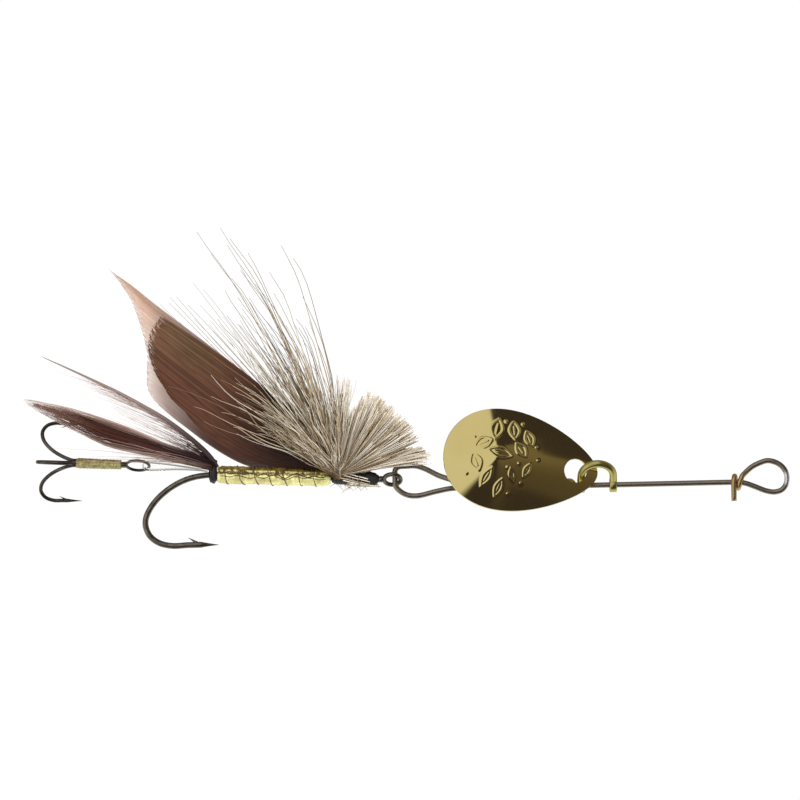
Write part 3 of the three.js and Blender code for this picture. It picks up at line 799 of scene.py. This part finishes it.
# ---- loose fibres
def fibre(build, pts, r0, r1, tints):
    """A thin three-sided hair from radius r0 to r1."""
    n = len(pts)
    build.tube(pts, [r0 + (r1 - r0) * (i / (n - 1)) ** 1.4 for i in range(n)], 3, tints)


def steps(n):
    return [i / n for i in range(n + 1)]


def ray(a0, u0, ln, ang, n, out, bend=0.0, lift=lambda s: 0.0):
    """A fibre's path from (a0, u0) at an angle; out and lift tell where it is at a share of its length."""
    return [fly(a0 + ln * s * math.cos(ang + bend * s), u0 + ln * s * math.sin(ang + bend * s) + lift(s), out(s))
            for s in steps(n)]


def bunch(build, lower, upper, out_at, count, colour, r0, r1, reach, spread):
    """Fibres that leave one root and stay between two edges, each ending somewhere along them."""
    for k in range(count):
        f0 = rng.random()
        f1 = min(1.0, max(0.0, f0 + rng.gauss(0, 0.10)))
        end = reach(f1)
        o1 = rng.gauss(0, spread)
        pts, tt = [], []
        tone = rng.uniform(0.75, 1.25)
        n = 12
        wav = rng.uniform(0, 20)
        for i in range(n + 1):
            t = end * i / n
            f = f0 + (f1 - f0) * t
            p = upper(t).lerp(lower(t), f)
            j = 0.10 * t * noise.noise(Vector((t * 4, wav, 0)))
            pts.append(fly(p.x, p.y + j, out_at(t) + o1 * smoothstep(0, 0.6, t) + j))
            tt.append(shade(colour(t, f), tone))
        fibre(build, pts, r0, r1, tt)


TAIL_PALE = lin(202, 174, 162)


def tail_colour(t, f):
    c = mix(lin(42, 26, 29), lin(98, 60, 48), smoothstep(0.10, 0.55, t))
    c = mix(c, lin(160, 124, 110), smoothstep(0.58, 0.95, t))
    return mix(c, TAIL_PALE, 0.9 * smoothstep(0.25, 0.48, abs(f - 0.5)) * smoothstep(0.12, 0.4, t))


b = Build()
lower = edge((-17.6, 0.35), (-20.0, 0.80), (-22.4, 1.28), (-25.3, 2.05), (-28.6, 3.2), (-31.0, 4.35), (-33.6, 5.45),
             (-36.0, 6.45))
upper = edge((-17.6, 0.95), (-19.6, 1.75), (-22.4, 2.60), (-26.4, 4.05), (-30.0, 5.15), (-33.0, 5.95), (-36.1, 6.6))
slip(b, lower, upper,
     lambda t, f: 0.34 + 0.28 * math.sin(math.pi * min(1, t * 1.1)) + 0.10 * math.cos(math.pi * (f - 0.5)),
     tail_colour, 36, 0.13, ridge=0.025, ragged=0.07)
# the fibres spread a little wider than the slip
lower = edge((-18.0, 0.35), (-20.0, 0.85), (-22.4, 1.30), (-25.3, 1.80), (-28.6, 2.5), (-31.0, 3.6), (-33.4, 4.7),
             (-36.6, 6.35))
upper = edge((-17.8, 1.15), (-19.6, 1.95), (-22.4, 2.85), (-26.4, 4.45), (-30.5, 5.75), (-33.5, 6.45), (-37.25, 7.05))
bunch(b, lower, upper, lambda t: 0.36 + 0.26 * math.sin(math.pi * t), 300, tail_colour, 0.050, 0.010,
      lambda f: rng.uniform(0.55, 1.0), 0.16)
for k in range(26):
    # loose fibres under the feather, clear of the leader
    a0, u0 = -18.0, 0.4 + 0.5 * rng.random()
    ln = rng.uniform(6, 17)
    ang = math.radians(rng.uniform(168, 177))
    bend = rng.uniform(-0.10, 0.12)
    away = rng.uniform(0.50, 0.75)
    pts = ray(a0, u0, ln, ang, 12, lambda s: away + min(1.0, 0.14 * ln * s), bend,
              lambda s: 0.25 * math.sin(math.pi * s))
    fibre(b, pts, 0.026, 0.008, [mix(lin(84, 56, 50), TAIL_PALE, min(1, i / 10)) for i in range(13)])
b.dress("tail_feather_lower", M_FEATHER, "fly")

b = Build()
quill = edge((-17.55, 0.7), (-18.1, 1.55), (-18.9, 2.40), (-20.2, 3.50), (-22.7, 5.3), (-25.1, 6.65), (-27.5, 7.88),
             (-31.2, 9.53), (-35.45, 11.32))
stem = [fly(quill(i / 40).x, quill(i / 40).y, 0.05 - 0.3 * i / 40) for i in range(41)]
b.tube(stem, [0.26 * (1 - i / 40) ** 0.7 + 0.015 for i in range(41)], 8,
       [mix(lin(62, 46, 46), lin(140, 122, 116), smoothstep(4, 22, i)) for i in range(41)], flat=0.6)
for k in range(106):
    # barbs below the quill, shorter towards its tip
    s0 = 0.62 * (k / 106) ** 1.5
    p = quill(s0)
    q = quill(min(1, s0 + 0.03))
    ang = max(math.atan2(q.y - p.y, q.x - p.x), math.radians(147))
    ang += rng.uniform(0.01, 0.30 - 0.16 * s0)
    ln = rng.uniform(3.0, 13.0) * (1 - 0.85 * s0)
    droop = rng.uniform(-0.03, 0.05)
    n = 10
    pts = ray(p.x, p.y, ln, ang, n, lambda s: -0.1 - 0.4 * s0 + rng.gauss(0, 0.02) - 0.25 * s * (1 if k % 2 else -1),
              droop, lambda s: -0.1)
    dark = mix(lin(66, 44, 44), lin(184, 158, 150), smoothstep(0.02, 0.30, s0))
    fibre(b, pts, 0.030, 0.007, [mix(dark, lin(214, 196, 190), smoothstep(0.12, 0.6, i / n)) for i in range(n + 1)])
for k in range(70):
    # the dark roots between the two bunches
    ang = math.radians(rng.uniform(147, 166))
    ln = rng.uniform(2.0, 6.0)
    a0, u0 = -17.6 + rng.uniform(-0.3, 0.1), 0.9 + rng.uniform(-0.3, 0.5)
    pts = ray(a0, u0, ln, ang, 6, lambda s: -0.1 + rng.uniform(-0.1, 0.1) * s)
    fibre(b, pts, 0.06, 0.010,
          [mix(lin(46, 30, 34), lin(128, 92, 84), smoothstep(0.4, 1.0, i / 6)) for i in range(7)])
b.dress("tail_feather_upper", M_FEATHER, "fly")

# ---- hair
HAIR = [lin(236, 229, 217), lin(216, 203, 180), lin(194, 174, 142), lin(160, 138, 105), lin(126, 104, 75)]
# the root colour darkens the hairs towards the tie: a browner colour with painted shade where they crowd
TIP_GREY, ROOT_BROWN_AND_SHADE = lin(108, 98, 82), lin(96, 74, 43)
FARTHEST = 1.95  # the hair's tips stay this close to the view plane, within the CAD hair's thickness
ROOT_A, ROOT_R = -5.40, 0.70  # where the hair is tied in, and the radius of the tie


def hair_colour(k, s, grey):
    """One of the five tones at s of the hair's length: darker and browner at its root, partly painted shade where the
    hairs crowd at the tie, and greyed towards its tip.
    """
    base = HAIR[k]
    c = mix(mix(base, ROOT_BROWN_AND_SHADE, 0.85), base, smoothstep(0.05, 0.75, s))
    return mix(c, TIP_GREY, grey * smoothstep(0.55, 0.95, s))


def strand(build, a0, u0, o0, angle, bend, length, side, r0, r1, pick, wave=0.25, n=12, grey=0.6, seed=None):
    """side is how far the tip stands out of the view plane; hairs with one seed share their waves."""
    pts, tt = [], []
    x, y = a0, u0
    seed = rng.uniform(0, 90) if seed is None else seed
    for i in range(n + 1):
        s = i / n
        dx, dy = (wave * s * noise.noise(Vector((s * 2.2, seed, z))) for z in (0, 7))
        pts.append(fly(x + dx, y + dy, stand_out(o0, side, s)))
        tt.append(hair_colour(pick, s, grey))
        ang = math.radians(angle + bend * s)
        x += length / n * math.cos(ang)
        y += length / n * math.sin(ang)
    fibre(build, pts, r0, r1, tt)


def pick_tone(shares=(3, 5, 5, 3, 2)):
    """A tone of HAIR, drawn by the share each has."""
    return rng.choices(range(5), shares)[0]


def root(front=None):
    """A place on the shank for a hair to start from: its height and how far it stands in front."""
    th = math.radians(rng.uniform(-85, 100) if front is None else front + rng.uniform(-12, 12))
    return ROOT_R * math.cos(th), ROOT_R * math.sin(th)


def stand_out(o0, side, s):
    """How far out of the view plane a hair is at s of its length."""
    return o0 * (1 - s) + side * math.sin(s * math.pi / 2) ** 1.1


def lock(build, angle, bend, length, side, count, spread, r0=0.074, wave=0.8, front=None, shares=(3, 5, 5, 3, 2),
         grey=0.2, tip=0.022):
    """A tuft whose hairs share one path and thin out towards its tip."""
    w = rng.uniform(-1.5, 1.5)
    seed = rng.uniform(0, 90)
    for j in range(count):
        ln = length * (1.0 if j == 0 else rng.triangular(0.30, 1.0, 0.7))
        u, o = root(front)
        strand(build, ROOT_A + rng.uniform(-0.3, 0.3), u, o, angle + rng.gauss(0, spread),
               bend + w + rng.gauss(0, 1.2), ln, max(-FARTHEST, min(FARTHEST, side + rng.gauss(0, 0.15))),
               r0 * rng.uniform(0.75, 1.15), tip, pick_tone(shares), wave, 14, grey, seed + rng.uniform(0, 0.3))


b = Build()
for k in range(78):
    # the dense fan: short at its front, longer towards the back
    ang = rng.triangular(89, 134, 110)
    far = smoothstep(92, 124, ang)
    lock(b, ang, rng.uniform(0, 11), rng.uniform(0.45, 1.0) ** 1.8 * (9.0 + 10.6 * far),
         max(-1.7, min(1.7, rng.gauss(0, 0.9))), 6, 1.3, shares=(4, 5, 4, 2, 2))
for k in range(30):
    # the upright clump at the front of the fan
    lock(b, rng.uniform(81, 98), rng.uniform(-3, 5), rng.uniform(8.2, 10.4), rng.uniform(-1.5, 1.5), 6, 1.4,
         0.062, shares=(6, 5, 3, 1, 1), grey=0.1, tip=0.026)
for k in range(90):
    # short filling between the fan and the head
    u, o = root()
    strand(b, ROOT_A + rng.uniform(-0.2, 0.3), u, o, rng.uniform(76, 92), rng.uniform(-3, 3),
           rng.uniform(4.2, 6.4), rng.gauss(0, 0.9), 0.06, 0.02, pick_tone())
# the long locks: direction, bend, length and number of hairs
LONG = ((115, 14, 27.8, 4), (112, 15, 27.3, 4), (109, 14, 26.2, 3), (119, 12, 25.4, 4), (105, 18, 24.6, 3),
        (118, 9, 22.2, 5), (95, 27, 24.1, 3), (123, 8, 21.6, 4), (107, 15, 20.6, 5), (90, 29, 22.1, 3),
        (113, 11, 19.1, 5), (127, 6, 19.6, 4), (91, 24, 17.6, 4), (100, 18, 19.6, 4), (110, 12, 23.1, 4),
        (124, 10, 18.1, 5), (98, 20, 16.0, 4), (103, 14, 22.0, 3))
for ang, bend, ln, n in LONG:
    lock(b, ang, bend, ln, rng.uniform(-1.2, 1.2), n, 0.9, 0.078, wave=1.9, shares=(0, 2, 4, 4, 3), grey=0.85)
for k in range(30):
    # in front of the near wing
    ang = rng.triangular(128, 152, 134)
    lock(b, ang, rng.uniform(3, 13), rng.uniform(7.0, 15.0), rng.uniform(1.3, 1.9), 6, 1.2, 0.066, wave=1.1, front=85)
for ang, bend, ln in ((147, 12, 19.2), (150, 10, 16.3), (155, 9, 14.4), (131, 3, 19.0), (139, 6, 16.5),
                      (143, 9, 15.0), (135, 6, 17.5), (152, 6, 11.5), (146, 5, 12.5)):
    lock(b, ang, bend, ln, 1.6, 2, 0.5, 0.062, wave=1.3, front=85)
for k in range(38):
    # behind the far wing, seen past its upper edge
    ang = rng.uniform(128, 141)
    ln = rng.uniform(9, 24.5)
    strand(b, ROOT_A + rng.uniform(-0.3, 0.3), 0.75 + rng.uniform(0, 0.15), -0.5, ang, rng.uniform(-2, 2), ln,
           -rng.uniform(1.2, 1.7), 0.05, 0.016, pick_tone(), wave=0.35, grey=0.8)
b.dress("hair_wing", M_HAIR, "fly")

# the head: a trimmed brush that leans forward
b = Build()
for k in range(1250):
    ang = rng.uniform(12, 79)
    reach = 8.15 + 0.30 * smoothstep(48, 68, ang) - 2.2 * smoothstep(72, 80, ang)
    reach += 0.55 * smoothstep(24, 12, ang)
    ln = reach * rng.uniform(0.82, 1.04) if k % 4 else reach * rng.uniform(0.5, 0.9)
    wide = 2.2 * math.sin(math.radians(25 + ang * 0.7))
    side = max(-wide, min(wide, rng.gauss(0, 1.15)))
    a0 = -5.2 + rng.uniform(-0.3, 0.3)
    u0, o0 = root(60 if side > 0 else -50)
    n = 8
    bend = rng.uniform(-4, 4)
    patch = noise.noise(Vector((ang * 0.11, side * 0.6, 4.0)))
    tone = pick_tone((1, 3, 5, 5, 4) if patch > 0.0 else (6, 6, 3, 1, 0))
    pts, tt = [], []
    for i in range(n + 1):
        s = i / n
        th = math.radians(ang + bend * (s - 0.5))
        pts.append(fly(a0 + ln * s * math.cos(th), u0 + ln * s * math.sin(th), stand_out(o0, side, s)))
        # the head's hairs darken towards the tie: a browner root colour with painted shade where they crowd
        dark, light = mix(HAIR[tone], ROOT_BROWN_AND_SHADE, 0.75), mix(HAIR[tone], HAIR[0], 0.35 * (k % 3))
        tt.append(mix(dark, light, s ** 1.5))
    b.tube(pts, [0.060 - 0.018 * (s / n) ** 2 for s in range(n + 1)], 4, tt)
for k in range(16):
    # strays that lie over the wire loop
    ang = math.radians(rng.uniform(2, 13))
    ln = rng.uniform(6.0, 8.6)
    pts = ray(-4.4, 0.75, ln, ang, 8, lambda s: (1.2 if k % 2 else -1.2) * s * rng.uniform(0.6, 1),
              lift=lambda s: 0.35 * s)
    b.tube(pts, 0.05, 3, [mix(HAIR[2], HAIR[0], i / 8) for i in range(9)])
b.dress("hair_head", M_HAIR, "fly")

# frayed ends round the tie
b = Build()
for k in range(46):
    a0 = rng.uniform(-5.9, -2.2)
    th = rng.uniform(0, PI2)
    ln = rng.uniform(0.6, 1.7)
    lean = rng.uniform(-1.0, 1.0)
    pts = [fly(a0 + lean * ln * s, (0.55 + ln * 0.45 * s) * math.cos(th) - 0.25 * s * s,
               (0.55 + ln * 0.45 * s) * math.sin(th)) for s in steps(6)]
    b.tube(pts, [0.045 - 0.03 * i / 6 for i in range(7)], 3, HAIR[rng.choice((1, 2, 3, 4))])
for k in range(7):
    # strands caught over the thread
    a0 = rng.uniform(-5.4, -4.2)
    pts = [round_axis(fly, a0 + (3.0 + 0.12 * k) * s * rng.uniform(0.9, 1), 0.75, math.radians(40 + 22 * k + 50 * s))
           for s in steps(8)]
    b.tube(pts, 0.055, 4, HAIR[k % 3])
b.make("tie_ends", M_HAIR, "fly", "hair_wing")

# ---- stage
floor_mat, _, bsdf, _ = shader("floor")
dial(bsdf, {"Base Color": (*lin(247, 247, 245), 1), "Roughness": 0.9, "Emission Color": (1, 1, 1, 1),
            "Emission Strength": 0.14})
me = bpy.data.meshes.new("floor")
FLOOR_SIDE, FLOOR_BACK, FLOOR_Z = 8, 0.85, -0.16
me.from_pydata([(-FLOOR_SIDE, -FLOOR_SIDE, FLOOR_Z), (FLOOR_SIDE, -FLOOR_SIDE, FLOOR_Z),
                (FLOOR_SIDE, FLOOR_BACK, FLOOR_Z), (-FLOOR_SIDE, FLOOR_BACK, FLOOR_Z)], [], [(0, 1, 2, 3)])
me.materials.append(floor_mat)
ob = bpy.data.objects.new("floor", me)
SCENE.collection.objects.link(ob)
ob.visible_glossy = False

world = bpy.data.worlds.new("studio")
SCENE.world = world
world.use_nodes = True
wt = world.node_tree
wt.nodes.clear()


def feed(x, socket):
    """Links an output to a socket, or sets the socket to a plain value."""
    if isinstance(x, bpy.types.NodeSocket):
        wt.links.new(x, socket)
    else:
        socket.default_value = x


def math_node(op, a, b):
    n = wt.nodes.new("ShaderNodeMath")
    n.operation = op
    feed(a, n.inputs[0])
    feed(b, n.inputs[1])
    return n.outputs[0]


def ramp_node(x, a, b, kind="SMOOTHSTEP"):
    """0 at a, 1 at b."""
    n = wt.nodes.new("ShaderNodeMapRange")
    n.interpolation_type = kind
    for name, value in (("Value", x), ("From Min", a), ("From Max", b)):
        feed(value, n.inputs[name])
    return n.outputs["Result"]


def colour_mix(factor, a, b, kind="MIX"):
    n = wt.nodes.new("ShaderNodeMix")
    n.data_type = "RGBA"
    n.blend_type = kind
    for k, value in ((0, factor), (6, a), (7, b)):
        feed(value, n.inputs[k])
    return n.outputs[2]


def background(colour, strength=1.0):
    n = wt.nodes.new("ShaderNodeBackground")
    feed(colour, n.inputs["Color"])
    n.inputs["Strength"].default_value = strength
    return n.outputs[0]


def either(kind, a, b):
    """b for one kind of ray and a for the others."""
    n = wt.nodes.new("ShaderNodeMixShader")
    for k, value in enumerate((kind, a, b)):
        feed(value, n.inputs[k])
    return n.outputs[0]


direction = wt.nodes.new("ShaderNodeSeparateXYZ")
feed(wt.nodes.new("ShaderNodeTexCoord").outputs["Generated"], direction.inputs[0])
X, Y, Z = direction.outputs
over = math_node("MULTIPLY", X, -1.0)
# what polished metal mirrors: a pale card on the tail side and darker panels on the others, met at one corner
CORNER_OVER, CORNER_Z = 0.30, 0.22
turn = math_node("ARCTAN2", math_node("SUBTRACT", over, CORNER_OVER), math_node("SUBTRACT", Z, CORNER_Z))
sector = wt.nodes.new("ShaderNodeValToRGB")
feed(ramp_node(turn, -math.pi, math.pi, "LINEAR"), sector.inputs[0])
CARD, SHADE_WARM, ROOM = (0.80, 0.785, 0.85), (0.046, 0.036, 0.041), (0.206, 0.168, 0.120)
# where each panel ends and the next one starts, in degrees round the corner
CARD_END, WARM_START, WARM_END, ROOM_START, ROOM_END, CARD_START = -127, -120, -98, -76, 90, 93
stops = [(-180, CARD), (CARD_END, CARD), (WARM_START, SHADE_WARM), (WARM_END, SHADE_WARM), (ROOM_START, ROOM),
         (ROOM_END, ROOM), (CARD_START, CARD), (180, CARD)]
ramp = sector.color_ramp
for k, (deg, col) in enumerate(stops):
    where = (deg + 180) / 360
    el = ramp.elements[0] if k == 0 else ramp.elements[-1] if k == len(stops) - 1 else ramp.elements.new(where)
    el.position = where
    el.color = (*col, 1)
# the dark panels: above, beyond the line end, and towards the floor
beyond = math_node("ADD", over, math_node("MULTIPLY", Z, 2.5))
slant = math_node("ADD", X, math_node("MULTIPLY", Z, 0.47))
dim = math_node("MAXIMUM", ramp_node(over, 0.61, 0.66), ramp_node(beyond, 1.975, 2.035))
dim = math_node("MAXIMUM", dim, ramp_node(slant, 0.52, 0.57))
off_card = ramp_node(turn, math.radians(CARD_START), math.radians(ROOM_END))
dim = math_node("MULTIPLY", dim, off_card)
# what lies between them grows darker towards the floor
lower = math_node("MULTIPLY", ramp_node(turn, math.radians(WARM_END), math.radians(ROOM_START)), off_card)
lower = math_node("MULTIPLY", ramp_node(slant, -0.25, 0.50, "LINEAR"), lower)
deep = colour_mix(lower, sector.outputs[0], (0.46, 0.44, 0.50, 1), "MULTIPLY")
front_side = colour_mix(dim, deep, (*SHADE_WARM, 1))
# behind the lure the room is plain: darker above it, paler below
back_side = colour_mix(ramp_node(X, -0.5, 0.6), (0.30, 0.28, 0.25, 1), (0.95, 0.95, 0.92, 1))
room = colour_mix(ramp_node(math_node("MULTIPLY", Y, -1.0), 0.05, 0.40), back_side, front_side)
rays = wt.nodes.new("ShaderNodeLightPath").outputs
light = either(rays["Is Glossy Ray"], background((1.0, 0.995, 0.985, 1), 0.85), background(room))
sky = either(rays["Is Camera Ray"], light, background((1, 1, 1, 1), 1.02))
feed(sky, wt.nodes.new("ShaderNodeOutputWorld").inputs[0])


def area(name, spot, target, size, power):
    light = bpy.data.lights.new(name, "AREA")
    light.energy = power
    light.size = size
    ob = bpy.data.objects.new(name, light)
    SCENE.collection.objects.link(ob)
    ob.location = spot
    ob.rotation_euler = (target - spot).to_track_quat("-Z", "Y").to_euler()
    ob.visible_glossy = False


# the middle of the view
CENTRE = at(-36.94, 8.926)
area("key", Vector((-0.35, -0.30, 0.12)), CENTRE, 0.30, 2.2)
area("fill", Vector((0.20, -0.45, -0.05)), CENTRE, 0.40, 1.0)

# ---- camera
cam = bpy.data.cameras.new("view")
cam.lens = 200
cam.sensor_width = 36
cam.clip_start = 0.01
cam.clip_end = 20
ob = bpy.data.objects.new("view", cam)
SCENE.collection.objects.link(ob)
SCENE.camera = ob
# the lure lies across the picture: its line end to the right, its dressing up, rolled a little
CAMERA_ROLL, HALF_VIEW = math.radians(1.235), 0.03994
across, up = Vector((0, 0, 1)), Vector((-1, 0, 0))
xc = across * math.cos(CAMERA_ROLL) - up * math.sin(CAMERA_ROLL)
yc = across * math.sin(CAMERA_ROLL) + up * math.cos(CAMERA_ROLL)
zc = xc.cross(yc)
dist = HALF_VIEW / math.tan(math.atan(cam.sensor_width / 2 / cam.lens))
ob.matrix_world = Matrix.Translation(CENTRE + zc * dist) @ Matrix((xc, yc, zc)).transposed().to_4x4()
SCENE.view_settings.view_transform = "Standard"
SCENE.view_settings.look = "None"
